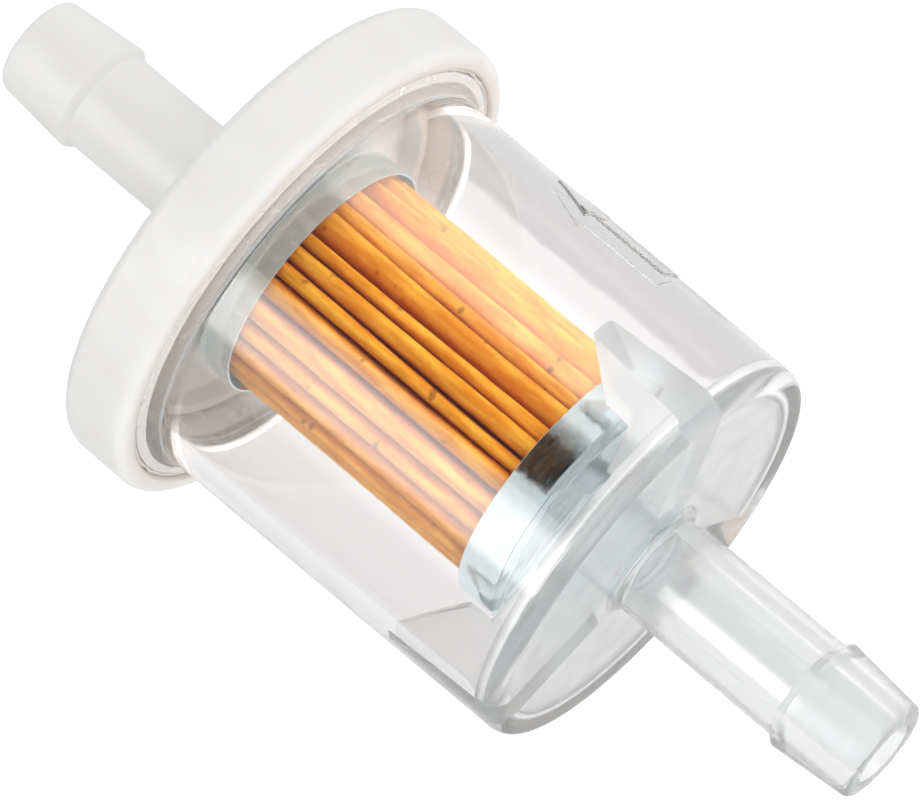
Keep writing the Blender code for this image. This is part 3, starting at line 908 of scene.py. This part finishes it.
def studio_world():
    """A white studio, with an overhead softbox, a low reflector and a dark gap between the two.

    Only what the filter mirrors shows the gap and the two lights. They lie in one band of directions round
    the X axis, whose height is an angle from level in front of the filter, up over it and down behind. Rays
    that have crossed the whole bowl find a weaker softbox. Diffuse surfaces behind a clear wall get more
    light than those outside, which makes up for what the many walls take away.
    """
    world = bpy.data.worlds.new("studio")
    bpy.context.scene.world = world
    world.use_nodes = True
    world.cycles.sampling_method = "NONE"
    world.node_tree.nodes.clear()
    sky = Nodes(world.node_tree)

    direction = sky.nodes.new("ShaderNodeSeparateXYZ")
    sky.feed(direction.inputs["Vector"], sky.nodes.new("ShaderNodeTexCoord").outputs["Generated"])
    ahead = sky.maths("MULTIPLY", direction.outputs["Y"], -1.0)
    height = sky.maths("ARCTAN2", direction.outputs["Z"], ahead)
    height = sky.maths("MULTIPLY", height, math.degrees(1))

    def stepped(steps):
        """The sum of the changes that each step brings at the ray's height."""
        level = 0.0
        for start, end, change in steps:
            level = sky.maths("ADD", sky.spread(height, 0.0, change, start, end), level)
        return level

    path = sky.nodes.new("ShaderNodeLightPath")
    through_wall = sky.maths("GREATER_THAN", path.outputs["Transmission Depth"], ONE_WALL)
    through_bowl = sky.maths("GREATER_THAN", path.outputs["Transmission Depth"], WHOLE_BOWL)
    softbox = sky.pick(through_bowl, SOFTBOX_LIGHT, SOFTBOX_INSIDE)
    softbox = sky.maths("MULTIPLY", stepped(SOFTBOX_STEPS), softbox)
    band = sky.maths("ADD", stepped(BAND_STEPS), softbox)
    in_wall = sky.maths("SUBTRACT", through_wall, through_bowl)
    band = sky.maths("MAXIMUM", band, sky.maths("MULTIPLY", in_wall, WALL_LIGHT))
    aside = sky.maths("ABSOLUTE", sky.maths("ADD", direction.outputs["X"], BAND_ASIDE))
    around = sky.spread(direction.outputs["Z"], UNDER_LIGHT, ROOM_LIGHT, *UNDER_FADE)
    mirrored = sky.spread(aside, band, around, BAND_WIDTH, BAND_WIDTH + BAND_FADE)

    fill = sky.pick(through_wall, FILL_LIGHT, INSIDE_LIGHT)
    lean = sky.maths("ADD", sky.maths("MULTIPLY", direction.outputs["X"], FILL_SLOPE), 1.0)
    fill = sky.maths("MULTIPLY", fill, lean)
    scattered = sky.maths("GREATER_THAN", path.outputs["Diffuse Depth"], 0.5)
    room = sky.nodes.new("ShaderNodeBackground")
    sky.feed(room.inputs["Strength"], sky.pick(scattered, mirrored, fill))
    backdrop = sky.nodes.new("ShaderNodeBackground")
    sky.feed(backdrop.inputs["Strength"], BACKDROP_LIGHT)
    mix = sky.nodes.new("ShaderNodeMixShader")
    sky.feed(mix.inputs[0], path.outputs["Is Camera Ray"])
    sky.feed(mix.inputs[1], room.outputs["Background"])
    sky.feed(mix.inputs[2], backdrop.outputs["Background"])
    sky.feed(sky.nodes.new("ShaderNodeOutputWorld").inputs["Surface"], mix.outputs["Shader"])


def clear_light_paths():
    """Lets light through the many walls of the clear moulding instead of ending its paths in black."""
    cycles = bpy.context.scene.cycles
    cycles.max_bounces = 32
    cycles.transmission_bounces = 32
    cycles.glossy_bounces = 24
    cycles.diffuse_bounces = 6


def photo_camera():
    """The camera, turned about its own view so that the filter lies across the picture's diagonal."""
    camera = bpy.data.objects.new("camera", bpy.data.cameras.new("camera"))
    bpy.context.collection.objects.link(camera)
    back = Vector((
        math.sin(CAMERA_AZIMUTH) * math.cos(CAMERA_ELEVATION),
        -math.cos(CAMERA_AZIMUTH) * math.cos(CAMERA_ELEVATION),
        math.sin(CAMERA_ELEVATION),
    ))
    camera.location = CAMERA_AIM + back * CAMERA_DISTANCE
    camera.rotation_mode = "QUATERNION"
    camera.rotation_quaternion = (-back).to_track_quat("-Z", "Y") @ Quaternion((0, 0, 1), CAMERA_ROLL)
    camera.data.lens = CAMERA_LENS
    camera.data.clip_start = CAMERA_CLIP
    bpy.context.scene.camera = camera


# ---------------------------------------------------------------- the filter

zinc = zinc_plate()
nylon = white_nylon()
wall = clear_plastic("clear_wall", (0.89, 0.88, 0.877), 0.0, 0.02, 0.06)
bowl = finished(bowl_moulding(), "clear_bowl", wall, "inlet_bowl")
bowl.data.materials.append(clear_plastic("clear_thick", (0.86, 0.865, 0.87), 0.075, 0.1, 0.18))
bowl.data.materials.append(clear_plastic("clear_fins", (0.98, 0.98, 0.98), 0.4, 0.09, 0.16))
bowl.data.materials.append(clear_plastic("clear_flange", (1.0, 0.985, 0.965), 0.75, 0.2, 0.3))
for face in bowl.data.polygons:
    face.material_index = clear_slot(face.center)
finished(cap_moulding(), "white_cap", nylon, "outlet_cap")
finished(weld_flash(), "white_cap", nylon)
finished(inlet_pressing(), "zinc_plate", zinc, "inlet_end_cap")
finished(outlet_pressing(), "zinc_plate", zinc, "outlet_end_cap")
finished(paper_pleats(), "filter_paper", filter_paper(), "pleated_paper")
potting = cured_plastisol()
for node, material in (
    ("pleat_seam_clip", zinc),
    ("centre_tube", tinned_steel()),
    ("inlet_potting", potting),
    ("outlet_potting", potting),
    ("outlet_grommet", nitrile_rubber()),
):
    frame["nodes"][node].data.materials.clear()
    frame["nodes"][node].data.materials.append(material)
plain_floor()
studio_world()
photo_camera()
bpy.context.scene.view_settings.view_transform = "Standard"
clear_light_paths()
